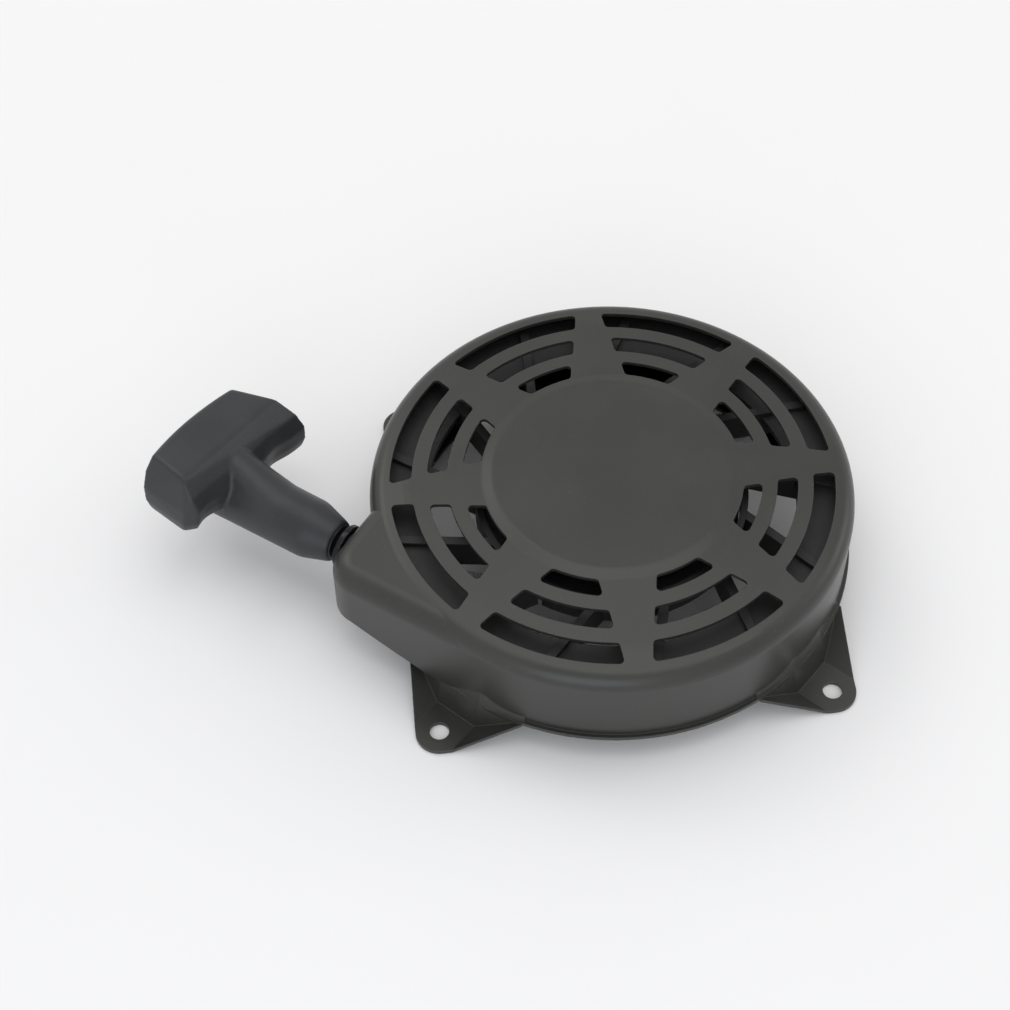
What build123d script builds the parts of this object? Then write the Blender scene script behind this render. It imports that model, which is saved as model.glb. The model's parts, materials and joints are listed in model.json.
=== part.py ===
"""Recoil (pull) starter for a small engine.

Origin: pulley axis at the plane of the mounting ears' undersides. +Z points to the slotted outer face.
The rope leaves along the direction ROPE_ANGLE, and s, q are distances along it and square to it.
"""
import os
from math import acos, atan2, cos, degrees, hypot, pi, radians, sin, sqrt

from build123d import *

os.makedirs("parts", exist_ok=True)

# Driving dimensions, in millimetres and degrees
SHEET = 1.5              # steel sheet of the cover
EAR_PITCH = 141.5        # hole to hole, square pattern
EAR_HOLE_D = 7.0
EAR_TIP_R = 8.5
RIM_Z = 11.0             # underside of the rim flange above the ears
RIM_R = 88.5
WALL_TOP_R = 87.6
WALL_LOW_R = 87.0
DISC_Z = 50.0            # raised centre disc
DISC_R = 43.0
DOME_IN = (47.0, 49.1)   # radius, height where the dome starts
DOME_OUT = (74.0, 47.2)
SHOULDER_Z = 45.2
SHOULDER_R = 6.2
DOME_BEND_R = 36.0
DISC_STEP_R = (6.0, 7.0)    # roundings at the top and foot of the step round the disc

SPOKES = 8
PATTERN_TURN = -1.6      # slots against the square of mounting holes
SLOT_RINGS = (           # inner radius, outer radius, half-width of the spoke at each
    (47.2, 53.9, 10.2, 8.8),
    (59.2, 66.6, 8.0, 6.6),
    (72.1, 80.1, 5.9, 4.6),
)
SLOT_CORNER = 1.6

ROPE_ANGLE = 141.4
ROPE_Z = 29.5
ROPE_R = 2.0
ROPE_PITCH = 4.1         # turn to turn in the pulley
ROPE_BEND_R = 24.0       # where the rope turns into its guide
WIND_R = 43.6            # rope centre on the outermost turn
HALF_TURNS = 12
ROPE_SPLIT = 74.5        # distance s where the handle's share of the rope starts
GUIDE_Q = 65.5
GUIDE_IN = 66.5          # distance s where the rope bends into the guide
GUIDE_BORE_R = 3.2
GUIDE_HOLE_R = 6.0        # hole in the outlet's end wall
OUTLET_S = 68.0          # outer face of the outlet's end wall
OUTLET_Q = 87.3          # outer face of the outlet's long wall
OUTLET_TOP = 45.6
OUTLET_CORNER = 12.0
OUTLET_EDGE_R = 7.0
OUTLET_RISE = ((25, 12.6), (45, 17.5), (56, 20.6))   # its lower edge: distance s, height

PULLEY_R = 46.5
PULLEY_CORE_R = 16.8
PULLEY_LOW = 24.5
PULLEY_TOP = 34.5
FLANGE_T = 2.5
HUB_R = 8.4
HUB_TOP = 46.8
POST_R = 6.0
POST_LOW = 15.8
BUSH_R = 7.5
RUN_FIT = 0.05           # radial running clearance
KNOT_AFTER_TAIL = 4.6    # knot's centre past the rope's inner end

CUP_R = 42.0
CUP_LOW = 38.2
STRIP_T = 0.8            # recoil spring strip
STRIP_H = 8.0
STRIP_PITCH = 4.4
STRIP_R = 39.9
STRIP_HALF_TURNS = 14

PLATE_Z = 18.4           # underside of the friction plate
PLATE_T = 1.4
PLATE_R = 32.0
PAWL_PIN_AT = 24.0
PAWL_PIN_R = 2.5
PAWL_Z = 20.3
PAWL_T = 3.6
PAWL_REACH = 20.0
PAWL_HOME = -110.0       # direction of a pawl at home, seen from its pin
PAWL_SWING = 35.0
PLATE_TURN = 28.0
PEG_AT = 9.0
PEG_R = 1.5

GUARD_FINS = 13
GUARD_FIN_T = 3.3
GUARD_FIN_OFFSET = 24.4
GUARD_FIRST = -50.0
GUARD_LOW = 27.5
GUARD_TOP = 39.5
GUARD_RING = (67.0, 85.8, 35.2, 37.5)     # inner radius, outer radius, low, high
GUARD_SKIRT = (83.7, 85.2, 12.5, 35.2)
GUARD_LIP = (74.0, 85.2, 12.5, 14.0)
GUARD_COLLAR = (47.0, 49.5, GUARD_LOW, GUARD_TOP)

HANDLE_S = 75.5          # tip of the handle when the rope is home
HANDLE_ROLL = 11.0
HANDLE_SHAFT_R = 11.0
HANDLE_TIP_R = 7.8
BAR_C = 10.0             # bar centre above the shaft's axis
BAR_HALF_T = 12.5
BAR_HALF_L = 31.5
BAR_TOP_HALF_L = 23.5
BAR_IN = 44.5
BAR_OUT = 71.0
BAR_CROWN = 7.0
BAR_SIDE = ((54.5, 12.5), (69.0, 12.5), (72.5, 3.0), (72.5, -5.0), (66.0, -12.5), (50.0, -12.5), (43.5, -5.0),
            (43.5, 0.0))         # outline of the bar seen from its end: a, height above its centre
SHAFT_END = 67.0
KNOT_SEAT = 46.0         # floor of the knot's chamber, from the tip
CHAMBER_R = 7.2

# Frames: rope frame (s, q, z) and handle frame (a out along the rope, -b, c)
DIR = Vector(cos(radians(ROPE_ANGLE)), sin(radians(ROPE_ANGLE)), 0)
SIDE = Vector(-sin(radians(ROPE_ANGLE)), cos(radians(ROPE_ANGLE)), 0)
UP = Vector(0, 0, 1)
ROPE_BASE = Plane(origin=(0, 0, 0), x_dir=DIR, z_dir=UP)
HANDLE_TIP = DIR * HANDLE_S + SIDE * GUIDE_Q + UP * ROPE_Z
GRIP_UP = UP * cos(radians(HANDLE_ROLL)) - SIDE * sin(radians(HANDLE_ROLL))
GRIP_SIDE = GRIP_UP.cross(DIR)
GRIP_BASE = Plane(origin=HANDLE_TIP, x_dir=DIR, z_dir=GRIP_UP)


def across_rope(s, z=ROPE_Z):
    """Plane square to the rope's outlet direction at distance s, centred on the guide."""
    return Plane(origin=DIR * s + SIDE * GUIDE_Q + UP * z, x_dir=SIDE, z_dir=DIR)


def across_grip(a, c=0.0):
    """Plane square to the handle's shaft at distance a from its tip."""
    return Plane(origin=HANDLE_TIP + DIR * a + GRIP_UP * c, x_dir=GRIP_SIDE, z_dir=DIR)


def save(part, name):
    part.label = name
    export_step(part, f"parts/{name}.step")


# ---------------------------------------------------------------- cover
def cover_profile(t):
    """Half section of the domed cover, inset by t, in the XZ plane."""
    with BuildSketch(Plane.XZ) as section:
        with BuildLine():
            Polyline(
                (0, -5), (0, DISC_Z - t), (DISC_R - t / 3, DISC_Z - t), (DOME_IN[0] - t / 3, DOME_IN[1] - t),
                (DOME_OUT[0], DOME_OUT[1] - t), (WALL_TOP_R - t, SHOULDER_Z - t), (WALL_LOW_R - t, RIM_Z),
                (WALL_LOW_R - t, -5), close=True,
            )
        make_face()
        corners = section.vertices()
        fillet(corners.sort_by(lambda v: abs(v.X - DISC_R + t / 3) + abs(v.Z - DISC_Z + t))[0], DISC_STEP_R[0])
        fillet(section.vertices().sort_by(lambda v: abs(v.X - DOME_IN[0]) + abs(v.Z - DOME_IN[1] + t))[0],
               DISC_STEP_R[1])
        fillet(section.vertices().sort_by(lambda v: abs(v.X - DOME_OUT[0]) + abs(v.Z - DOME_OUT[1] + t))[0],
               DOME_BEND_R)
        fillet(section.vertices().sort_by(lambda v: abs(v.X - WALL_TOP_R) + abs(v.Z - SHOULDER_Z + t))[0],
               SHOULDER_R - t)
    return section.sketch


def outlet_outline(grow):
    """Plan outline of the rope outlet, grown by grow, from inside the drum to its rounded corner."""
    with BuildSketch() as outline:
        with BuildLine():
            Polyline((0, 20), (0, OUTLET_Q + grow), (OUTLET_S + grow, OUTLET_Q + grow),
                     (OUTLET_S + grow, 30), (40, 20), close=True)
        make_face()
        fillet(outline.vertices().sort_by(lambda v: v.X + v.Y)[-1], OUTLET_CORNER + grow)
    return outline.sketch


def outlet_block(grow, low, edge_r):
    """Solid of the outlet with its rounded top edge."""
    with BuildPart() as block:
        with BuildSketch(ROPE_BASE.offset(low)):
            add(outlet_outline(grow))
        extrude(amount=OUTLET_TOP + grow - low)
        local = block.faces().sort_by(Axis.Z)[-1].edges()
        rim = [e for e in local if (e @ 0.5 - DIR * 60).dot(DIR) + (e @ 0.5).dot(SIDE) > 60]
        fillet(rim, edge_r)
        with BuildSketch(Plane(origin=(0, 0, 0), x_dir=DIR, z_dir=SIDE * -1)):
            with BuildLine():
                Polyline((-10, -10), (-10, RIM_Z), *OUTLET_RISE, (110, OUTLET_RISE[-1][1]), (110, -10), close=True)
            make_face()
        extrude(amount=-120, mode=Mode.SUBTRACT)
    return block.part


EAR_AXIS = EAR_PITCH / sqrt(2)
PAD_HALF = 8.5
RIM_HALF = 25.5          # half-chord where an ear runs into the rim
RIM_U = 85.5


def ear_plane(k, v):
    """Plane of constant v in ear k's frame (u outward on the diagonal, v across it), with local y up."""
    turn = radians(45 + 90 * k)
    u_dir = Vector(cos(turn), sin(turn), 0)
    v_dir = Vector(-sin(turn), cos(turn), 0)
    return Plane(origin=v_dir * v, x_dir=u_dir, z_dir=v_dir * -1)


def loft_over_v(k, stations):
    """Ruled loft of (v, [(u, z), ...]) sections in ear k's frame."""
    with BuildPart() as body:
        for v, points in stations:
            with BuildSketch(ear_plane(k, v)):
                with BuildLine():
                    Polyline(*points, close=True)
                make_face()
        loft(ruled=True)
    return body.part


def leg_outer(k):
    foot = [(76, 0), (91.2, 0), (86.9, 18.5), (84.5, 21), (76, 21)]
    side = [(74, RIM_Z), (84.4, RIM_Z), (82.6, 17), (81.5, 18), (74, 18)]
    return loft_over_v(k, [(-RIM_HALF, side), (-PAD_HALF, foot), (PAD_HALF, foot), (RIM_HALF, side)])


def leg_inner(k):
    foot = [(70, -1), (89.7, -1), (85.3, 18.0), (83.5, 19.5), (70, 19.5)]
    side = [(70, RIM_Z - 1.1), (83.0, RIM_Z - 1.1), (81.5, 16), (80.5, 16.8), (70, 16.8)]
    return loft_over_v(k, [(-24, side), (-7.4, foot), (7.4, foot), (24, side)])


def wing(k, hand):
    pad_side = [(88, 0), (EAR_AXIS + 3.5, 0), (EAR_AXIS + 3.5, SHEET), (88, SHEET)]
    rim_side = [(81, RIM_Z), (RIM_U, RIM_Z), (RIM_U, RIM_Z + SHEET), (81, RIM_Z + SHEET)]
    return loft_over_v(k, [(hand * PAD_HALF, pad_side), (hand * RIM_HALF, rim_side)])


def ear_pad(k):
    turn = 45 + 90 * k
    base = Plane(origin=(0, 0, 0), x_dir=(cos(radians(turn)), sin(radians(turn)), 0), z_dir=(0, 0, 1))
    reach = EAR_TIP_R / sqrt(2)
    tangent_u = EAR_AXIS + reach
    corner_u = EAR_AXIS + EAR_TIP_R * sqrt(2) - PAD_HALF
    with BuildPart() as pad:
        with BuildSketch(base):
            with BuildLine():
                Polyline((80, -PAD_HALF), (corner_u, -PAD_HALF), (tangent_u, -reach), (tangent_u, reach),
                         (corner_u, PAD_HALF), (80, PAD_HALF), close=True)
            make_face()
            with Locations((EAR_AXIS, 0)):
                Circle(EAR_TIP_R)
        extrude(amount=SHEET)
    return pad.part


def slot_sketch():
    """All air slots: ring pieces between straight-sided spokes."""
    with BuildSketch(Plane.XY.offset(30)) as slots:
        for r_in, r_out, half_in, half_out in SLOT_RINGS:
            with BuildSketch(Plane.XY.offset(30), mode=Mode.PRIVATE) as one:
                Circle(r_out)
                Circle(r_in, mode=Mode.SUBTRACT)
                for side in (0, 1):
                    turn = 360 / SPOKES * side
                    with Locations(Rotation(0, 0, turn)):
                        with BuildLine(mode=Mode.PRIVATE) as spoke:
                            Polyline((r_in - 5, half_in + 0.5), (r_out + 5, half_out - 0.5),
                                     (r_out + 5, -half_out + 0.5), (r_in - 5, -half_in - 0.5), close=True)
                        add(make_face(spoke.line.edges(), mode=Mode.PRIVATE), mode=Mode.SUBTRACT)
            piece = one.sketch.faces().sort_by(
                lambda f: abs(degrees(atan2(f.center().Y, f.center().X)) - 180 / SPOKES))[0]
            with BuildSketch(Plane.XY.offset(30), mode=Mode.PRIVATE) as rounded:
                add(piece)
                fillet(rounded.vertices(), SLOT_CORNER)
            with PolarLocations(0, SPOKES):
                add(rounded.sketch)
    return slots.sketch


outlet_shell = outlet_block(0, RIM_Z, OUTLET_EDGE_R)
outlet_room = outlet_block(-SHEET, 0, OUTLET_EDGE_R - SHEET)
leg_rooms = [leg_inner(k) for k in range(4)]
ears = []
for k in range(4):
    ears += [leg_outer(k), wing(k, 1), wing(k, -1), ear_pad(k)]
air_slots = slot_sketch()

with BuildPart() as cover_room:
    add(cover_profile(SHEET))
    revolve(axis=Axis.Z)
    add(outlet_room)
    for leg in leg_rooms:
        add(leg)

with BuildPart() as housing:
    add(cover_profile(0))
    revolve(axis=Axis.Z)
    add(outlet_shell)
    # rim flange
    with BuildSketch(Plane.XY.offset(RIM_Z)):
        Circle(RIM_R)
    extrude(amount=SHEET)
    split(bisect_by=Plane.XY.offset(RIM_Z), keep=Keep.TOP)
    for ear in ears:
        add(ear)
    add(cover_room.part, mode=Mode.SUBTRACT)
    # mounting holes
    with BuildSketch(Plane.XY.offset(-1)):
        with PolarLocations(EAR_AXIS, 4, start_angle=45):
            Circle(EAR_HOLE_D / 2)
    extrude(amount=SHEET + 2, mode=Mode.SUBTRACT)
    # hole of the rope guide
    with BuildSketch(across_rope(OUTLET_S - 6)):
        Circle(GUIDE_HOLE_R)
    extrude(amount=12, mode=Mode.SUBTRACT)
    with Locations(Rotation(0, 0, PATTERN_TURN)):
        add(air_slots)
    extrude(amount=30, mode=Mode.SUBTRACT)
save(housing.part, "housing")


# ---------------------------------------------------------------- fixed pieces
def ring(name, r_in, r_out, low, high, edge=0.0):
    """Plain turned ring or washer about the pulley axis."""
    with BuildPart() as body:
        with BuildSketch(Plane.XY.offset(low)):
            Circle(r_out)
            if r_in:
                Circle(r_in, mode=Mode.SUBTRACT)
        extrude(amount=high - low)
        if edge:
            chamfer(body.edges().filter_by(GeomType.CIRCLE), edge)
    save(body.part, name)


with BuildPart() as centre_post:
    with BuildSketch(Plane.XZ):
        with BuildLine():
            Polyline((0, POST_LOW), (POST_R, POST_LOW), (POST_R, 47.3), (13, 47.3), (13, DISC_Z - SHEET),
                     (0, DISC_Z - SHEET), close=True)
        make_face()
    revolve(axis=Axis.Z)
    with BuildSketch(Plane.XY.offset(POST_LOW)):
        Circle(2.5)
    extrude(amount=16, mode=Mode.SUBTRACT)
    fillet(centre_post.edges().filter_by(GeomType.CIRCLE).filter_by_position(Axis.Z, 47.2, 47.4)
           .sort_by(SortBy.RADIUS)[0], 1.0)
save(centre_post.part, "centre_post")

with BuildPart() as spring_cup:
    with BuildSketch(Plane.XZ):
        with BuildLine():
            Polyline((14.2, DISC_Z - SHEET), (CUP_R, DISC_Z - SHEET), (CUP_R, CUP_LOW), (CUP_R - 1, CUP_LOW),
                     (CUP_R - 1, DISC_Z - SHEET - 1.2), (14.2, DISC_Z - SHEET - 1.2), close=True)
        make_face()
    revolve(axis=Axis.Z)
    fillet(spring_cup.edges().filter_by(GeomType.CIRCLE).filter_by_position(Axis.Z, 48.4, 48.6)
           .sort_by(SortBy.RADIUS)[-1], 0.8)
save(spring_cup.part, "spring_cup")


def winding(centre_shift, first_r, count):
    """Flat spiral made of half circles about two centres, from its outer end on +X inwards."""
    arcs = []
    for k in range(count):
        r = first_r - centre_shift * k
        cx = -centre_shift if k % 2 else 0.0
        sign = -1 if k % 2 else 1
        arcs.append(((cx + sign * r, 0), (cx, sign * r), (cx - sign * r, 0)))
    return arcs


with BuildPart() as recoil_spring:
    with BuildSketch(Plane.XY.offset(HUB_TOP - STRIP_H)):
        with BuildLine():
            for start, middle, end in winding(STRIP_PITCH / 2, STRIP_R, STRIP_HALF_TURNS):
                ThreePointArc(start, middle, end)
        trace(line_width=STRIP_T)
    extrude(amount=STRIP_H)
save(recoil_spring.part, "recoil_spring")

with BuildPart() as rope_guide:
    with BuildSketch(Plane(origin=across_rope(OUTLET_S - 3.5).origin, x_dir=DIR, z_dir=SIDE)):
        with BuildLine():
            Polyline((0, GUIDE_BORE_R + 1.6), (1.6, GUIDE_BORE_R), (6.4, GUIDE_BORE_R), (9.2, GUIDE_BORE_R + 2.6),
                     (9.2, 7.0), (8.2, 8.3), (6.3, 8.3), (5.6, 6.9), (3.5, 6.9), (3.5, 5.9), (0, 5.9),
                     close=True)
        make_face()
    revolve(axis=Axis(across_rope(0).origin, DIR))
    fillet([e for e in rope_guide.edges().filter_by(GeomType.CIRCLE) if e.radius > 6.5], 0.4)
save(rope_guide.part, "rope_guide")

with BuildPart() as rope_guide_ring:
    with BuildSketch(across_rope(OUTLET_S - SHEET)):
        Circle(8.6)
        Circle(5.9, mode=Mode.SUBTRACT)
    extrude(amount=-1.5)
save(rope_guide_ring.part, "rope_guide_ring")


# ---------------------------------------------------------------- rope
def tube(line, plane, name):
    """Round rope along a planar line."""
    with BuildPart() as body:
        with BuildSketch(plane):
            Circle(ROPE_R)
        sweep(path=line)
    save(body.part, name)
    return body.part


reach = hypot(GUIDE_IN, GUIDE_Q)
leave_angle = degrees(atan2(GUIDE_Q, GUIDE_IN)) + degrees(acos(WIND_R / reach))
leave = (WIND_R * cos(radians(leave_angle)), WIND_R * sin(radians(leave_angle)))
WOUND_BASE = Plane(origin=UP * ROPE_Z, x_dir=DIR.rotate(Axis.Z, leave_angle), z_dir=UP)

with BuildLine(WOUND_BASE) as wound_line:
    for start, middle, end in winding(ROPE_PITCH / 2, WIND_R, HALF_TURNS):
        ThreePointArc(start, middle, end)
    inner_x = WIND_R - ROPE_PITCH / 2 * HALF_TURNS
    JernArc(start=(inner_x, 0), tangent=(0, 1), radius=7, arc_size=60)
wound_wire = wound_line.line
tube(wound_wire, Plane(origin=wound_wire @ 0, z_dir=wound_wire % 0), "rope_wound")

ROPE_LEVEL = Plane(origin=UP * ROPE_Z, x_dir=DIR, z_dir=UP)
with BuildLine(ROPE_LEVEL) as run_line:
    FilletPolyline(leave, (GUIDE_IN, GUIDE_Q), (ROPE_SPLIT, GUIDE_Q), radius=ROPE_BEND_R)
tube(run_line.line, Plane(origin=run_line.line @ 0, z_dir=run_line.line % 0), "rope_run")

with BuildLine(ROPE_LEVEL) as lead_line:
    Line((ROPE_SPLIT, GUIDE_Q), (HANDLE_S + KNOT_SEAT + 1.4, GUIDE_Q))
tube(lead_line.line, across_rope(ROPE_SPLIT), "rope_lead")
lengths = [sum(e.length for e in line.edges()) for line in (wound_wire, run_line.line, lead_line.line)]
print("rope lengths", lengths, "bend", ROPE_BEND_R, "innermost turn", inner_x)


def knot(centre, axis, ring_r, name):
    """Overhand knot as three rope turns side by side on an axis."""
    with BuildPart() as body:
        with BuildSketch(Plane(origin=centre, x_dir=axis, z_dir=UP)):
            with Locations((-2.4, ring_r), (0, ring_r), (2.4, ring_r)):
                Circle(ROPE_R)
            with Locations((0, ring_r / 2)):
                Rectangle(6.8, ring_r)
            with Locations((0, -ring_r)):
                Rectangle(16, 2 * ring_r, mode=Mode.SUBTRACT)
        revolve(axis=Axis(centre, axis))
    save(body.part, name)


# ---------------------------------------------------------------- pulley and drive
def at_wound(x, y, z):
    """Plane at a point of the winding's own frame."""
    point = WOUND_BASE.from_local_coords(Vector(x, y, 0))
    return Plane(origin=(point.X, point.Y, z))


tail_x = inner_x - 7 + 7 * cos(radians(60))
tail_y = 7 * sin(radians(60))
knot_x = tail_x - KNOT_AFTER_TAIL * cos(radians(30))
knot_y = tail_y + KNOT_AFTER_TAIL * sin(radians(30))
with BuildPart() as pulley:
    with BuildSketch(Plane.XZ) as pulley_half:
        with BuildLine():
            Polyline(
                (BUSH_R, 20.5), (13, 20.5), (13, PULLEY_LOW), (PULLEY_R, PULLEY_LOW),
                (PULLEY_R, PULLEY_LOW + FLANGE_T), (PULLEY_CORE_R, PULLEY_LOW + FLANGE_T),
                (PULLEY_CORE_R, PULLEY_TOP - FLANGE_T), (PULLEY_R, PULLEY_TOP - FLANGE_T),
                (PULLEY_R, PULLEY_TOP), (HUB_R, PULLEY_TOP), (HUB_R, HUB_TOP), (BUSH_R, HUB_TOP), close=True,
            )
        make_face()
        fillet([v for v in pulley_half.vertices() if v.X > PULLEY_R - 0.1], 0.9)
    revolve(axis=Axis.Z)
    for k in range(8):
        turn = radians(45 * k)
        with BuildSketch(Plane(origin=(0, 0, PULLEY_TOP), x_dir=(cos(turn), sin(turn), 0), z_dir=(0, 0, 1))):
            with Locations((23, 0)):
                Rectangle(29.4, 2)
        extrude(amount=2.4)
    with BuildSketch(at_wound(knot_x, knot_y, PULLEY_LOW + 1)):
        Circle(5.5)
    extrude(amount=PULLEY_TOP, mode=Mode.SUBTRACT)
    with BuildSketch(at_wound(tail_x, tail_y, ROPE_Z - ROPE_R - 0.4)):
        Circle(ROPE_R + 0.9)
    extrude(amount=2 * ROPE_R + 0.8, mode=Mode.SUBTRACT)
    with BuildSketch(Plane.XY.offset(PULLEY_LOW - 1)):
        with PolarLocations(PAWL_PIN_AT, 2):
            Circle(PAWL_PIN_R)
    extrude(amount=3, mode=Mode.SUBTRACT)
save(pulley.part, "pulley")
knot(Vector(at_wound(knot_x, knot_y, ROPE_Z).origin), WOUND_BASE.x_dir.rotate(Axis.Z, 150), 2.0, "pulley_knot")

ring("pulley_bush", POST_R + RUN_FIT, BUSH_R, 20.5, HUB_TOP, 0.3)
ring("thrust_washer", POST_R, 11.0, PLATE_Z + PLATE_T + 0.1, 20.4)
ring("screw_washer", 2.5, 10.0, POST_LOW - 1.2, POST_LOW, 0.2)

with BuildPart() as pawl_pins:
    with BuildSketch(Plane.XY.offset(PAWL_Z - 0.3)):
        with PolarLocations(PAWL_PIN_AT, 2):
            Circle(PAWL_PIN_R)
    extrude(amount=PULLEY_LOW + 2 - PAWL_Z + 0.3)
save(pawl_pins.part, "pawl_pins")

with BuildPart() as centre_screw:
    with BuildSketch(Plane.XY.offset(POST_LOW - 4.4)):
        Circle(5.0)
    extrude(amount=3.2)
    chamfer(centre_screw.faces().sort_by(Axis.Z)[0].edges(), 0.5)
    with BuildSketch(Plane.XY.offset(POST_LOW - 1.2)):
        Circle(2.5)
    extrude(amount=15)
    with BuildSketch(Plane.XY.offset(POST_LOW - 4.4)):
        RegularPolygon(radius=2.9, side_count=6)
    extrude(amount=2, mode=Mode.SUBTRACT)
save(centre_screw.part, "centre_screw")


def coil(name, x, y, low, radius, wire, pitch, height):
    """Small coil spring standing on low at (x, y)."""
    path = Helix(pitch=pitch, height=height, radius=radius, center=(x, y, low + wire))
    with BuildPart() as body:
        with BuildSketch(Plane(origin=path @ 0, z_dir=path % 0)):
            Circle(wire)
        sweep(path=path, is_frenet=True)
    save(body.part, name)


coil("brake_spring", 0, 0, POST_LOW + 0.05, 8.0, 0.45, 0.98, 1.5)


def pawl_point(angle, distance):
    """Point at a distance from the pawl pin, angle measured in the pulley's frame."""
    return Vector(PAWL_PIN_AT + distance * cos(radians(angle)), distance * sin(radians(angle)), 0)


with BuildPart() as pawl:
    nose = pawl_point(PAWL_HOME, PAWL_REACH)
    with BuildSketch(Plane.XY.offset(PAWL_Z)):
        with Locations((PAWL_PIN_AT, 0)):
            Circle(5.4)
        with Locations((nose.X, nose.Y)):
            Circle(2.2)
        make_hull()
    extrude(amount=PAWL_T)
    with BuildSketch(Plane.XY.offset(PAWL_Z)):
        with Locations((PAWL_PIN_AT, 0)):
            Circle(PAWL_PIN_R + RUN_FIT)
    extrude(amount=PAWL_T, mode=Mode.SUBTRACT)
    with BuildSketch(Plane.XY.offset(PAWL_Z + 1.6)):
        with Locations((PAWL_PIN_AT, 0)):
            Circle(4.5)
    extrude(amount=PAWL_T, mode=Mode.SUBTRACT)
    peg = pawl_point(PAWL_HOME, PEG_AT)
    with BuildSketch(Plane.XY.offset(PLATE_Z - 0.8)):
        with Locations((peg.X, peg.Y)):
            Circle(PEG_R)
    extrude(amount=PAWL_Z - PLATE_Z + 0.8)
for number, turn in ((1, 0), (2, 180)):
    save(pawl.part.rotate(Axis.Z, turn), f"pawl_{number}")
    side = cos(radians(turn))
    coil(f"pawl_spring_{number}", PAWL_PIN_AT * side, 0, PAWL_Z + 1.7, 3.4, 0.3, 0.75, 1.3)


def peg_in_plate(share):
    """Where the pawl's peg stands in the friction plate's own frame after a share of the plate's turn."""
    point = pawl_point(PAWL_HOME + PAWL_SWING * share, PEG_AT)
    return point.rotate(Axis.Z, -PLATE_TURN * share)


with BuildPart() as friction_plate:
    with BuildSketch(Plane.XY.offset(PLATE_Z)) as plate_face:
        Circle(PLATE_R)
        Circle(POST_R + RUN_FIT, mode=Mode.SUBTRACT)
        with BuildLine(mode=Mode.PRIVATE) as peg_path:
            ThreePointArc(peg_in_plate(0), peg_in_plate(0.5), peg_in_plate(1))
        for turn in (0, 180):
            with Locations(Rotation(0, 0, turn)):
                SlotArc(peg_path.line.edges()[0], 2 * PEG_R + 0.7, mode=Mode.SUBTRACT)
            with PolarLocations(22, 1, start_angle=turn + 40):
                Circle(4.5, mode=Mode.SUBTRACT)
            with PolarLocations(22, 1, start_angle=turn + 85):
                Circle(4.5, mode=Mode.SUBTRACT)
    extrude(amount=PLATE_T)
save(friction_plate.part, "friction_plate")

# ---------------------------------------------------------------- inner guard
run_turn = degrees(atan2(GUIDE_Q - leave[1], GUIDE_IN - leave[0]))
middle_point = ROPE_LEVEL.from_local_coords(Vector((leave[0] + GUIDE_IN) / 2, (leave[1] + GUIDE_Q) / 2, 0))
ring("guard_ring", *GUARD_RING)

with BuildPart() as guard_collar:
    r_in, r_out, low, high = GUARD_COLLAR
    with BuildSketch(Plane.XY.offset(low)):
        Circle(r_out)
        Circle(r_in, mode=Mode.SUBTRACT)
    extrude(amount=high - low)
    # gap where the rope passes
    with BuildSketch(Plane(origin=middle_point - UP * 6, x_dir=DIR.rotate(Axis.Z, run_turn), z_dir=UP)):
        Rectangle(92, 8)
    extrude(amount=10, mode=Mode.SUBTRACT)
save(guard_collar.part, "guard_collar")

with BuildPart() as guard_fins:
    fin_start = sqrt(48.6 ** 2 - GUARD_FIN_OFFSET ** 2)
    fin_end = sqrt(82.8 ** 2 - GUARD_FIN_OFFSET ** 2)
    for k in range(GUARD_FINS):
        turn = radians(GUARD_FIRST + 360 / GUARD_FINS * k)
        with BuildSketch(Plane(origin=(0, 0, GUARD_LOW), x_dir=(cos(turn), sin(turn), 0), z_dir=(0, 0, 1))):
            with Locations(((fin_start + fin_end) / 2, GUARD_FIN_OFFSET)):
                Rectangle(fin_end - fin_start, GUARD_FIN_T)
        extrude(amount=GUARD_TOP - GUARD_LOW)
    for r_in, r_out, low, high in (GUARD_RING, GUARD_COLLAR):
        with BuildSketch(Plane.XY.offset(low)):
            Circle(r_out)
            Circle(r_in, mode=Mode.SUBTRACT)
        extrude(amount=high - low, mode=Mode.SUBTRACT)
    # gap where the rope passes
    with BuildSketch(Plane(origin=middle_point - UP * 6, x_dir=DIR.rotate(Axis.Z, run_turn), z_dir=UP)):
        Rectangle(92, 8)
    extrude(amount=10, mode=Mode.SUBTRACT)
save(guard_fins.part, "guard_fins")

with BuildPart() as guard_skirt:
    for r_in, r_out, low, high in (GUARD_SKIRT, GUARD_LIP):
        with BuildSketch(Plane.XY.offset(low)):
            Circle(r_out)
            Circle(r_in, mode=Mode.SUBTRACT)
        extrude(amount=high - low)
    # gap where the rope passes
    with BuildSketch(Plane(origin=middle_point - UP * 6, x_dir=DIR.rotate(Axis.Z, run_turn), z_dir=UP)):
        Rectangle(92, 8)
    extrude(amount=12, mode=Mode.SUBTRACT)
save(guard_skirt.part, "guard_skirt")

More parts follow.
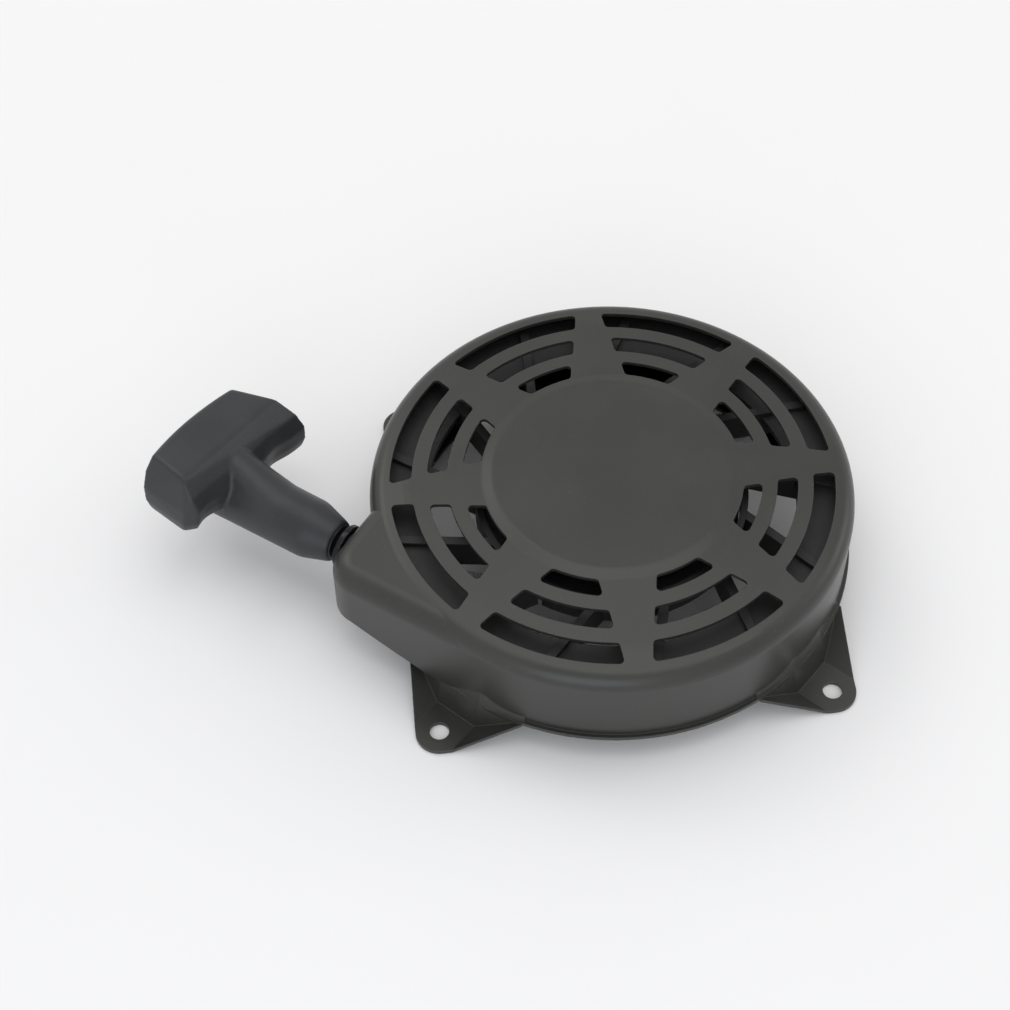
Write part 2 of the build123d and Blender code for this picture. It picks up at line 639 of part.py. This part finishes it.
# ---------------------------------------------------------------- handle
with BuildPart() as bar:
    with BuildSketch(GRIP_BASE.offset(BAR_C - BAR_HALF_T)) as bar_plan:
        with BuildLine():
            ThreePointArc((BAR_OUT - BAR_CROWN, -BAR_HALF_L), (BAR_OUT, 0), (BAR_OUT - BAR_CROWN, BAR_HALF_L))
            Polyline((BAR_OUT - BAR_CROWN, BAR_HALF_L), (BAR_IN + 2, BAR_HALF_L), (BAR_IN, 0),
                     (BAR_IN + 2, -BAR_HALF_L), (BAR_OUT - BAR_CROWN, -BAR_HALF_L))
        make_face()
        fillet([v for v in bar_plan.vertices() if abs(GRIP_BASE.to_local_coords(Vector(v)).Y) > 10], 4)
    extrude(amount=2 * BAR_HALF_T)
    with BuildSketch(across_grip(30, BAR_C)):
        with BuildLine():
            Polyline((-BAR_TOP_HALF_L, BAR_HALF_T), (BAR_TOP_HALF_L, BAR_HALF_T), (BAR_HALF_L, 0),
                     (BAR_TOP_HALF_L, -BAR_HALF_T), (-BAR_TOP_HALF_L, -BAR_HALF_T), (-BAR_HALF_L, 0), close=True)
        make_face()
    extrude(amount=60, mode=Mode.INTERSECT)
    with BuildSketch(Plane(origin=HANDLE_TIP + GRIP_UP * BAR_C, x_dir=DIR, z_dir=GRIP_SIDE)):
        with BuildLine():
            Polyline(*BAR_SIDE, close=True)
        make_face()
    extrude(amount=50, both=True, mode=Mode.INTERSECT)
    fillet(bar.edges(), 1.8)

with BuildPart() as handle_grip:
    with BuildSketch(Plane(origin=HANDLE_TIP, x_dir=DIR, z_dir=GRIP_SIDE)):
        with BuildLine():
            Polyline((0, 0), (0, HANDLE_TIP_R - 0.6), (0.6, HANDLE_TIP_R), (10.5, HANDLE_SHAFT_R),
                     (BAR_IN, HANDLE_SHAFT_R + 0.4), (SHAFT_END - 4, HANDLE_SHAFT_R + 0.4),
                     (SHAFT_END, CHAMBER_R + 0.9), (SHAFT_END, 0), close=True)
        make_face()
    revolve(axis=Axis(HANDLE_TIP, DIR))
    add(bar.part)
    with BuildSketch(across_grip(0)):
        Circle(ROPE_R + 0.4)
    extrude(amount=KNOT_SEAT + 1, mode=Mode.SUBTRACT)
    with BuildSketch(across_grip(KNOT_SEAT)):
        Circle(CHAMBER_R)
    extrude(amount=30, mode=Mode.SUBTRACT)
save(handle_grip.part, "handle_grip")

with BuildPart() as handle_washer:
    with BuildSketch(across_grip(KNOT_SEAT)):
        Circle(CHAMBER_R - 0.3)
        Circle(ROPE_R + 0.3, mode=Mode.SUBTRACT)
    extrude(amount=1.4)
save(handle_washer.part, "handle_washer")
knot(HANDLE_TIP + DIR * (KNOT_SEAT + 6.0), DIR, 2.6, "handle_knot")

with BuildPart() as handle_cap:
    with BuildSketch(across_grip(61)):
        Circle(CHAMBER_R)
    extrude(amount=4)
    chamfer(handle_cap.faces().sort_by(lambda f: f.center().dot(DIR))[-1].edges(), 0.8)
save(handle_cap.part, "handle_cap")
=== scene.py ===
"""Looks for the recoil starter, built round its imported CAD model. Metres, in the CAD frame."""

import json
from math import acos, atan2, cos, exp, pi, radians, sin

import bmesh
import bpy
from mathutils import Matrix, Vector


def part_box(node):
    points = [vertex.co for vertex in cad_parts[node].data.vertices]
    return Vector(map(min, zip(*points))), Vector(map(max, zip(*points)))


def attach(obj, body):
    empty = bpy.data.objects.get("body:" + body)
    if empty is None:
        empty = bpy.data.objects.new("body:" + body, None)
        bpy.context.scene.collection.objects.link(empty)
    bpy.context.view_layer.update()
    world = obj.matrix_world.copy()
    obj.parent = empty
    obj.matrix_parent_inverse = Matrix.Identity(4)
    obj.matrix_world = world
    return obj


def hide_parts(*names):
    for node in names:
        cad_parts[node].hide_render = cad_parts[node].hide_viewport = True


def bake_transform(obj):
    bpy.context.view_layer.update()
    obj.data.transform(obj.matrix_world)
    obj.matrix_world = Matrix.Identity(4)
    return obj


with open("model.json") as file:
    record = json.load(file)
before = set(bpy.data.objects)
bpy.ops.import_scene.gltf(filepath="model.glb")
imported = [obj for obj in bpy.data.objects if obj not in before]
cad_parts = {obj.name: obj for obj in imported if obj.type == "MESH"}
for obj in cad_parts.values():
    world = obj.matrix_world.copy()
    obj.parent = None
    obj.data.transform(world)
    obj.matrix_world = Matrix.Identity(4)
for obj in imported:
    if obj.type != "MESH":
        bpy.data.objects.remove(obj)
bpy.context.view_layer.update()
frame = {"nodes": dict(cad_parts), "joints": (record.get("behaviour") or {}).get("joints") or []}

MM = 0.001
UP = Vector((0, 0, 1))
ROPE_R = 2.0 * MM
BRAID_PITCH = 1.5 * MM
BRAID_STRANDS = 8         # strands that run each way round the rope
GUIDE_AT = 66.5 * MM      # corner of the rope's run in its guide, from the pulley's axis along the pull
WIND_R = 43.6 * MM        # radius of the outermost turn's middle line
BEND_CUT = 3.5 * MM       # how far before and after the corner its bend starts
pull = next(j for j in frame["joints"] if j["name"] == "handle_pull")
ROPE_DIR = Vector(pull["axis"]).normalized()
ROPE_SIDE = UP.cross(ROPE_DIR)


def centre(node):
    low, high = (Vector(corner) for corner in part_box(node))
    return (low + high) / 2


WASHER = centre("handle_washer")
WASHER_AT = 46.7          # washer's middle from the handle's tip, mm
ROLL = radians(11)        # the handle's turn about the rope
TIP = WASHER - ROPE_DIR * WASHER_AT * MM
GRIP_UP = UP * cos(ROLL) - ROPE_SIDE * sin(ROLL)
GRIP_SIDE = GRIP_UP.cross(ROPE_DIR)


# ---------------------------------------------------------------- node helpers
class Shader:
    """A material's node tree with short calls for the nodes used here."""

    def __init__(self, name, **sockets):
        self.material = bpy.data.materials.new(name)
        self.material.use_nodes = True
        self.tree = self.material.node_tree
        self.bsdf = self.tree.nodes["Principled BSDF"]
        for key, value in sockets.items():
            self.bsdf.inputs[key.replace("_", " ")].default_value = value
        self.object = self.tree.nodes.new("ShaderNodeTexCoord").outputs["Object"]

    def node(self, kind, **values):
        node = self.tree.nodes.new(kind)
        for key, value in values.items():
            setattr(node, key, value)
        return node

    def link(self, source, target):
        self.tree.links.new(source, target)

    def noise(self, scale, detail, rough, vector=None):
        node = self.node("ShaderNodeTexNoise")
        node.inputs["Scale"].default_value = scale
        node.inputs["Detail"].default_value = detail
        node.inputs["Roughness"].default_value = rough
        self.link(vector or self.object, node.inputs["Vector"])
        return node.outputs["Fac"]

    def voronoi(self, scale):
        node = self.node("ShaderNodeTexVoronoi")
        node.inputs["Scale"].default_value = scale
        self.link(self.object, node.inputs["Vector"])
        return node.outputs["Distance"]

    def remap(self, value, low, high, to_low, to_high):
        node = self.node("ShaderNodeMapRange")
        self.link(value, node.inputs["Value"])
        for key, number in (("From Min", low), ("From Max", high), ("To Min", to_low), ("To Max", to_high)):
            node.inputs[key].default_value = number
        return node.outputs["Result"]

    def mix(self, factor, first, second):
        node = self.node("ShaderNodeMix", data_type="RGBA")
        self.link(factor, node.inputs["Factor"])
        for socket, value in ((node.inputs["A"], first), (node.inputs["B"], second)):
            if isinstance(value, tuple):
                socket.default_value = (*value, 1)
            else:
                self.link(value, socket)
        return node.outputs["Result"]

    def math(self, operation, first, second=None):
        node = self.node("ShaderNodeMath", operation=operation)
        for socket, value in zip(node.inputs, (first, second)):
            if isinstance(value, (int, float)):
                socket.default_value = value
            elif value is not None:
                self.link(value, socket)
        return node.outputs["Value"]

    def edges(self, radius=0.6 * MM):
        """1 on outside edges, 0 elsewhere, from how far a bevelled normal leans from the real one; the paint lightens
        them as a painted edge highlight.
        """
        bevel = self.node("ShaderNodeBevel", samples=4)
        bevel.inputs["Radius"].default_value = radius
        geometry = self.node("ShaderNodeNewGeometry")
        dot = self.node("ShaderNodeVectorMath", operation="DOT_PRODUCT")
        self.link(bevel.outputs["Normal"], dot.inputs[0])
        self.link(geometry.outputs["Normal"], dot.inputs[1])
        return self.remap(dot.outputs["Value"], 0.995, 0.90, 0, 1)

    def bump(self, height, strength, distance, soften=None):
        node = self.node("ShaderNodeBump")
        node.inputs["Strength"].default_value = strength
        node.inputs["Distance"].default_value = distance
        self.link(height, node.inputs["Height"])
        if soften:
            bevel = self.node("ShaderNodeBevel", samples=4)
            bevel.inputs["Radius"].default_value = soften
            self.link(bevel.outputs["Normal"], node.inputs["Normal"])
        self.link(node.outputs["Normal"], self.bsdf.inputs["Normal"])

    def colour(self, value):
        self.link(value, self.bsdf.inputs["Base Color"])

    def roughness(self, value):
        self.link(value, self.bsdf.inputs["Roughness"])


# ---------------------------------------------------------------- materials
def black_paint():
    """Satin black-olive stove enamel with orange peel and dust, and a painted highlight lightening its outside edges.
    """
    s = Shader("black_paint", Specular_IOR_Level=0.50)
    broad = s.noise(28, 3, 0.55)
    grain = s.noise(900, 2, 0.6)
    peel = s.noise(420, 2, 0.45)
    base = s.mix(s.remap(broad, 0.35, 0.65, 0, 1), (0.0230, 0.0230, 0.0204), (0.0272, 0.0271, 0.0243))
    dusted = s.mix(s.remap(grain, 0.62, 0.80, 0, 0.25), base, (0.085, 0.084, 0.078))
    # painted highlight: the outside edges are lightened towards pale grey, where rounded edges would catch the light
    s.colour(s.mix(s.math("MULTIPLY", s.edges(0.5 * MM), 0.30), dusted, (0.10, 0.10, 0.096)))
    s.roughness(s.remap(s.math("ADD", broad, s.math("MULTIPLY", grain, 0.4)), 0.5, 0.9, 0.30, 0.40))
    s.bump(s.math("ADD", peel, s.math("MULTIPLY", grain, 0.25)), 0.10, 0.12 * MM, 0.45 * MM)
    return s.material


def moulded(name, dark, light, grain_scale, rough=(0.5, 0.62), depth=0.12, soften=0.35 * MM):
    """Moulded plastic with a fine sparked grain and slightly polished edges."""
    s = Shader(name, Specular_IOR_Level=0.4)
    grain = s.noise(grain_scale, 3, 0.65)
    broad = s.noise(40, 3, 0.5)
    base = s.mix(s.remap(broad, 0.35, 0.65, 0, 1), dark, light)
    s.colour(s.mix(s.remap(grain, 0.5, 0.8, 0, 0.35), base, tuple(c * 1.5 for c in light)))
    s.roughness(s.remap(s.math("SUBTRACT", grain, s.math("MULTIPLY", s.edges(), 0.2)), 0.3, 0.7, *rough))
    s.bump(grain, 0.45, depth * MM, soften)
    return s.material


def metal(name, colour, rough, stretch=None, tint=None, soften=0.25 * MM):
    """Bare or plated steel with fine scratches and stains."""
    s = Shader(name, Metallic=1.0)
    mapping = s.node("ShaderNodeMapping")
    mapping.inputs["Scale"].default_value = stretch or (1, 1, 1)
    s.link(s.object, mapping.inputs["Vector"])
    lines = s.noise(650, 3, 0.6, mapping.outputs["Vector"])
    stain = s.noise(90, 4, 0.6)
    base = s.mix(s.remap(stain, 0.4, 0.7, 0, 1), colour, tint or tuple(c * 0.8 for c in colour))
    s.colour(s.mix(s.math("MULTIPLY", s.edges(), 0.5), base, tuple(min(1, c * 1.35) for c in colour)))
    s.roughness(s.remap(s.math("ADD", lines, s.math("MULTIPLY", stain, 0.6)), 0.6, 1.0, *rough))
    s.bump(lines, 0.2, 0.04 * MM, soften)
    return s.material


def guide_metal():
    """Dark lacquered steel of the rope guide, rubbed brighter in scattered spots."""
    s = Shader("guide_metal", Metallic=0.85, Specular_IOR_Level=0.5)
    wear = s.noise(500, 3, 0.6)
    s.colour(s.mix(s.remap(wear, 0.55, 0.75, 0, 0.5), (0.020, 0.020, 0.022), (0.10, 0.10, 0.11)))
    s.roughness(s.remap(wear, 0.3, 0.7, 0.24, 0.4))
    s.bump(wear, 0.1, 0.05 * MM, 0.3 * MM)
    return s.material


def braided_rope():
    """Braid of the starter rope. Place along the pull sets the pitch, so it stays the same at any pose."""
    s = Shader("braided_rope", Specular_IOR_Level=0.25, Sheen_Weight=0.25, Sheen_Roughness=0.5)
    attribute = s.node("ShaderNodeUVMap", uv_map="tube")
    parts = s.node("ShaderNodeSeparateXYZ")
    s.link(attribute.outputs["UV"], parts.inputs["Vector"])
    around = parts.outputs["Y"]
    pull_line = s.node("ShaderNodeVectorMath", operation="DOT_PRODUCT")
    s.link(s.object, pull_line.inputs[0])
    pull_line.inputs[1].default_value = ROPE_DIR / BRAID_PITCH
    along = pull_line.outputs["Value"]

    def strand(sign):
        phase = s.math("ADD", along, s.math("MULTIPLY", around, sign * BRAID_STRANDS))
        return s.math("ABSOLUTE", s.math("SINE", s.math("MULTIPLY", phase, pi)))

    weave = s.math("MAXIMUM", strand(1), strand(-1))
    fibres = s.noise(2600, 2, 0.6)
    shade = s.math("ADD", s.math("MULTIPLY", weave, 0.8), s.math("MULTIPLY", fibres, 0.2))
    s.colour(s.mix(s.remap(shade, 0.45, 0.95, 0, 1), (0.035, 0.034, 0.032), (0.12, 0.118, 0.11)))
    s.bsdf.inputs["Roughness"].default_value = 0.8
    s.bump(shade, 0.6, 0.25 * MM)
    return s.material


def cut_rope():
    """The same rope where it lies wound or knotted inside, by place instead of along the tube."""
    s = Shader("wound_rope", Roughness=0.8, Specular_IOR_Level=0.25, Sheen_Weight=0.25)
    plait = s.voronoi(900)
    fibres = s.noise(2600, 2, 0.6)
    shade = s.math("ADD", s.math("MULTIPLY", plait, 0.8), s.math("MULTIPLY", fibres, 0.3))
    s.colour(s.mix(s.remap(shade, 0.2, 0.8, 0, 1), (0.10, 0.098, 0.09), (0.04, 0.039, 0.036)))
    s.bump(shade, 0.5, 0.2 * MM)
    return s.material


BLACK = black_paint()
GUARD = moulded("guard_plastic", (0.016, 0.016, 0.0165), (0.023, 0.023, 0.0235), 700)
GRIP = moulded("grip_plastic", (0.019, 0.020, 0.022), (0.027, 0.028, 0.030), 1500, (0.34, 0.46), 0.16, 0.8 * MM)
TIP_PLASTIC = moulded("tip_plastic", (0.006, 0.006, 0.0065), (0.010, 0.010, 0.011), 900, (0.3, 0.4), 0.05)
PULLEY_PLASTIC = moulded("pulley_plastic", (0.020, 0.020, 0.022), (0.030, 0.030, 0.032), 600, (0.42, 0.55))
BUSH = moulded("bush_plastic", (0.55, 0.52, 0.43), (0.62, 0.59, 0.50), 500, (0.35, 0.45))
ZINC = metal("zinc_steel", (0.62, 0.61, 0.57), (0.26, 0.42), tint=(0.52, 0.53, 0.50))
PAWL = metal("sintered_steel", (0.36, 0.35, 0.33), (0.42, 0.6), tint=(0.24, 0.23, 0.22))
SPRING = metal("spring_steel", (0.26, 0.27, 0.30), (0.24, 0.38), (1, 1, 0.05), (0.17, 0.18, 0.22))
CUP = metal("phosphated_steel", (0.075, 0.075, 0.078), (0.45, 0.6), tint=(0.05, 0.05, 0.052))
GUIDE_METAL = guide_metal()
ROPE = braided_rope()
WOUND_ROPE = cut_rope()

NODE_MATERIALS = {
    "housing": BLACK, "guard_ring": GUARD, "guard_collar": GUARD, "guard_fins": GUARD, "guard_skirt": GUARD,
    "spring_cup": CUP, "centre_post": ZINC, "recoil_spring": SPRING,
    "rope_guide": GUIDE_METAL, "rope_guide_ring": GUIDE_METAL, "centre_screw": ZINC, "screw_washer": ZINC,
    "brake_spring": SPRING, "thrust_washer": SPRING, "pulley": PULLEY_PLASTIC, "pulley_bush": BUSH,
    "pawl_pins": ZINC, "pawl_spring_1": SPRING, "pawl_spring_2": SPRING, "friction_plate": ZINC,
    "pawl_1": PAWL, "pawl_2": PAWL, "handle_grip": GRIP, "handle_cap": GRIP, "handle_washer": ZINC,
    "rope_wound": WOUND_ROPE, "rope_run": WOUND_ROPE, "rope_lead": WOUND_ROPE, "pulley_knot": WOUND_ROPE,
    "handle_knot": WOUND_ROPE,
}
for name, material in NODE_MATERIALS.items():
    mesh = frame["nodes"][name].data
    mesh.materials.clear()
    mesh.materials.append(material)


# ---------------------------------------------------------------- handle
def grip_point(a, b, c):
    """Point of the handle's frame: a out along the rope from its tip, b across, c up, in mm."""
    return TIP + (ROPE_DIR * a + GRIP_SIDE * b + GRIP_UP * c) * MM


def circle(a, radius, c=0.0, b=0.0, count=48):
    turns = [2 * pi * k / count for k in range(count)]
    return [grip_point(a, b + radius * cos(t), c + radius * sin(t)) for t in turns]


def hull(mesh, points):
    """Adds the closed convex hull of some points to a bmesh."""
    verts = [mesh.verts.new(p) for p in points]
    made = bmesh.ops.convex_hull(mesh, input=verts)
    spare = {g for g in made["geom_interior"] + made["geom_unused"] if isinstance(g, bmesh.types.BMVert)}
    bmesh.ops.delete(mesh, geom=list(spare), context="VERTS")


def add_object(name, mesh, material, body):
    data = bpy.data.meshes.new(name)
    mesh.to_mesh(data)
    mesh.free()
    data.materials.append(material)
    piece = bpy.data.objects.new(name, data)
    bpy.context.collection.objects.link(piece)
    for face in data.polygons:
        face.use_smooth = True
    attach(piece, body)
    return piece


def bake(piece, *modifiers):
    """Runs modifiers on a piece and keeps the result as its mesh."""
    for kind, values in modifiers:
        modifier = piece.modifiers.new(kind.lower(), kind)
        for key, value in values.items():
            setattr(modifier, key, value)
    depsgraph = bpy.context.evaluated_depsgraph_get()
    mesh = bpy.data.meshes.new_from_object(piece.evaluated_get(depsgraph))
    mesh.name = piece.name
    piece.modifiers.clear()
    piece.data = mesh


def bar_points():
    """Corners of the T bar: a flat top, a front that slopes to the shaft, ends widest below the middle."""
    points = []
    for share in (-1, -0.88, -0.7, -0.5, -0.25, 0, 0.25, 0.5, 0.7, 0.88, 1):
        # height, half-length at the inner and outer side, where those sides are, the outer side's crown
        for c, b_in, b_out, a_in, a_out, crown in (
            (22.6, 24.6, 21.8, 52.8, 67.2, 1.6), (21.8, 25.8, 23.0, 51.2, 68.6, 2.0),
            (15.5, 29.2, 26.8, 47.0, 71.0, 3.0), (9.5, 31.2, 29.0, 44.5, 71.4, 4.0),
            (5.5, 31.6, 29.0, 44.2, 71.0, 4.5), (2.0, 30.6, 28.0, 45.0, 70.0, 5.0),
            (-0.8, 27.4, 26.0, 49.0, 66.6, 5.0), (-2.4, 23.6, 22.6, 52.5, 63.0, 4.0),
        ):
            # the two ends differ a little, curve towards the cover and hang lower than the middle
            far, upper, bend = share < 0, c > 20, share ** 2
            reach_in, reach_out = (1.14, 1.05) if far else (1.04, 1.0) if upper else (0.95, 0.94)
            drop = 0 if c > 8 else 1.8 * bend
            near_corner_cut = 4.5 if share == 1 and c < 10 else 0
            a_in_bent = a_in - (4.0 if far and not upper else 2.0) * bend + near_corner_cut
            points.append(grip_point(a_in_bent, share * b_in * reach_in, c - drop))
            points.append(grip_point(a_out - crown * bend, share * b_out * reach_out, c - drop))
    return points


def drill(piece, a, radius, depth):
    """Cuts a round bore into a piece on the handle's axis from a outwards."""
    bore = bmesh.new()
    hull(bore, circle(a, radius, count=64) + circle(a + depth, radius, count=64))
    bmesh.ops.recalc_face_normals(bore, faces=bore.faces)
    data = bpy.data.meshes.new("bore")
    bore.to_mesh(data)
    bore.free()
    cutter = bpy.data.objects.new("bore", data)
    bpy.context.collection.objects.link(cutter)
    bake(piece, ("BOOLEAN", {"operation": "DIFFERENCE", "object": cutter, "solver": "EXACT"}))
    bpy.data.objects.remove(cutter)


def make_grip():
    mesh = bmesh.new()
    hull(mesh, bar_points())
    hull(mesh, circle(0, 7.4) + circle(0.7, 8.0) + circle(10.2, 10.9) + circle(12, 11.2) + circle(63, 11.6)
         + circle(67, 8.4))
    # web that carries the top of the shaft up into the bar's top face
    hull(mesh, circle(24, 11.1) + circle(52, 11.6) + circle(56, 5.0, 17.4))
    piece = add_object("grip", mesh, GRIP, "handle")
    bake(piece, ("REMESH", {"mode": "VOXEL", "voxel_size": 0.5 * MM}),
         ("SMOOTH", {"factor": 0.5, "iterations": 14}))
    for vertex in piece.data.vertices:
        offset = vertex.co - TIP
        a, b, c = (offset.dot(axis) / MM for axis in (ROPE_DIR, GRIP_SIDE, GRIP_UP))
        finger = exp(-((abs(b) - 19) / 6.5) ** 2 - ((c - 3) / 8) ** 2 - ((a - 45) / 6) ** 2)
        vertex.co += ROPE_DIR * 2.4 * MM * finger
    drill(piece, -2, 3.4, 6)
    drill(piece, 58, 7.3, 12)
    for face in piece.data.polygons:
        face.use_smooth = True
    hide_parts("handle_grip")


def turned(name, profile, material, body, count=64):
    """Ring or washer on the handle's axis from (a, radius) points, closed on itself."""
    mesh = bmesh.new()
    loops = [[mesh.verts.new(p) for p in circle(a, radius, count=count)] for a, radius in profile]
    for first, second in zip(loops, loops[1:] + loops[:1]):
        for k in range(count):
            mesh.faces.new((first[k], first[k - 1], second[k - 1], second[k]))
    bmesh.ops.recalc_face_normals(mesh, faces=mesh.faces)
    return add_object(name, mesh, material, body)


def make_tip_ring():
    """Black bush pressed into the handle's tip, round the rope."""
    profile = [(-0.25, 2.7), (-0.55, 3.2), (-0.6, 5.8), (-0.3, 6.7), (0.2, 6.9), (3.6, 3.3), (3.6, 2.35), (0.3, 2.35)]
    ring = turned("grip_tip_bush", profile, TIP_PLASTIC, "handle")


# ---------------------------------------------------------------- rope
def make_rope():
    """The rope from the pulley through its guide to the knot in the handle, as one braided tube."""
    guide_line = WASHER.dot(ROPE_SIDE)
    corner = ROPE_DIR * GUIDE_AT + ROPE_SIDE * guide_line + UP * WASHER.z
    corner_turn = atan2(guide_line, GUIDE_AT)
    leave_turn = corner_turn + acos(WIND_R / (corner - UP * corner.z).length)
    leave = ROPE_DIR * WIND_R * cos(leave_turn) + ROPE_SIDE * WIND_R * sin(leave_turn) + UP * WASHER.z
    end = WASHER + ROPE_DIR * 0.6 * MM
    run = (corner - leave).normalized()
    first, last = corner - run * BEND_CUT, corner + ROPE_DIR * BEND_CUT
    path = [leave.lerp(first, k / 24) for k in range(25)]
    for k in range(1, 9):
        t = k / 9
        path.append(first * (1 - t) ** 2 + corner * 2 * t * (1 - t) + last * t ** 2)
    path += [last.lerp(end, k / 90) for k in range(91)]
    mesh = bmesh.new()
    uv = mesh.loops.layers.uv.new("tube")
    count, along, rings = 24, [0.0], []
    for here, there in zip(path, path[1:]):
        along.append(along[-1] + (there - here).length)
    for k, point in enumerate(path):
        tangent = (path[min(k + 1, len(path) - 1)] - path[max(k - 1, 0)]).normalized()
        across = UP.cross(tangent)
        turns = [2 * pi * j / count for j in range(count)]
        rings.append([mesh.verts.new(point + (across * cos(t) + UP * sin(t)) * ROPE_R) for t in turns])
    for k in range(len(rings) - 1):
        for j in range(count):
            n = (j + 1) % count
            face = mesh.faces.new((rings[k][j], rings[k][n], rings[k + 1][n], rings[k + 1][j]))
            for loop, (i, w) in zip(face.loops, ((k, j), (k, j + 1), (k + 1, j + 1), (k + 1, j))):
                loop[uv].uv = (along[i] / BRAID_PITCH, w / count)
    bmesh.ops.contextual_create(mesh, geom=rings[0])
    bmesh.ops.contextual_create(mesh, geom=rings[-1])
    bmesh.ops.recalc_face_normals(mesh, faces=mesh.faces)
    data = bpy.data.meshes.new("rope")
    mesh.to_mesh(data)
    mesh.free()
    data.materials.append(ROPE)
    for face in data.polygons:
        face.use_smooth = True
    rope = bpy.data.objects.new("rope", data)
    bpy.context.collection.objects.link(rope)
    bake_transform(rope)
    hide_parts("rope_run", "rope_lead")


make_grip()
make_tip_ring()
make_rope()


# ---------------------------------------------------------------- stage, light, camera
def camera():
    """Camera at the photograph's angle: azimuth, elevation and roll about the line to a point on the disc."""
    azimuth, elevation, roll = radians(-5.658), radians(52.296), radians(-1.089)
    distance = 0.78719
    target = Vector((-39.87, -10.34, 50.0)) * MM
    back = Vector((sin(azimuth) * cos(elevation), -cos(azimuth) * cos(elevation), sin(elevation)))
    right = Vector((cos(azimuth), sin(azimuth), 0))
    up = back.cross(right)
    right, up = right * cos(roll) + up * sin(roll), up * cos(roll) - right * sin(roll)
    data = bpy.data.cameras.new("camera")
    data.lens, data.sensor_width = 79.178, 36.0
    data.clip_start, data.clip_end = 0.01, 30.0
    eye = bpy.data.objects.new("camera", data)
    turn = Matrix((right, up, back)).transposed().to_4x4()
    eye.matrix_world = Matrix.Translation(target + back * distance) @ turn
    bpy.context.collection.objects.link(eye)
    bpy.context.scene.camera = eye


def floor():
    """Pale paper sweep."""
    mesh = bpy.data.meshes.new("floor")
    side = 4.0
    corners = [(-side, -side, 0), (side, -side, 0), (side, side, 0), (-side, side, 0)]
    mesh.from_pydata(corners, [], [(0, 1, 2, 3)])
    sheet = bpy.data.objects.new("floor", mesh)
    sheet.location.z = -0.0002
    bpy.context.collection.objects.link(sheet)
    s = Shader("paper", Roughness=0.9, Specular_IOR_Level=0.15)
    s.colour(s.mix(s.noise(6, 4, 0.5), (0.82, 0.818, 0.82), (0.85, 0.848, 0.85)))
    mesh.materials.append(s.material)


def area(name, place, aim, size, power, colour=(1, 1, 1)):
    data = bpy.data.lights.new(name, "AREA")
    data.shape, data.size, data.energy, data.color = "SQUARE", size, power, colour
    lamp = bpy.data.objects.new(name, data)
    direction = Vector(place) - Vector(aim)
    lamp.matrix_world = Matrix.Translation(place) @ direction.to_track_quat("Z", "Y").to_matrix().to_4x4()
    bpy.context.collection.objects.link(lamp)


def lights():
    area("overhead", (0.1, 0.15, 1.85), (0, 0, 0), 1.4, 7.0)
    area("back_left", (-1.0, 1.3, 1.7), (0, 0, 0), 1.0, 5.5)
    area("right", (1.5, 0.3, 0.7), (0.05, 0, 0.02), 0.7, 2)
    area("front", (-0.5, -1.7, 0.55), (0, 0, 0.02), 1.3, 7.8, (0.84, 0.91, 1.0))
    world = bpy.data.worlds.new("studio")
    world.use_nodes = True
    background = world.node_tree.nodes["Background"]
    background.inputs["Color"].default_value = (0.97, 0.97, 0.975, 1)
    background.inputs["Strength"].default_value = 0.83
    bpy.context.scene.world = world
    bpy.context.scene.view_settings.view_transform = "Standard"


camera()
floor()
lights()
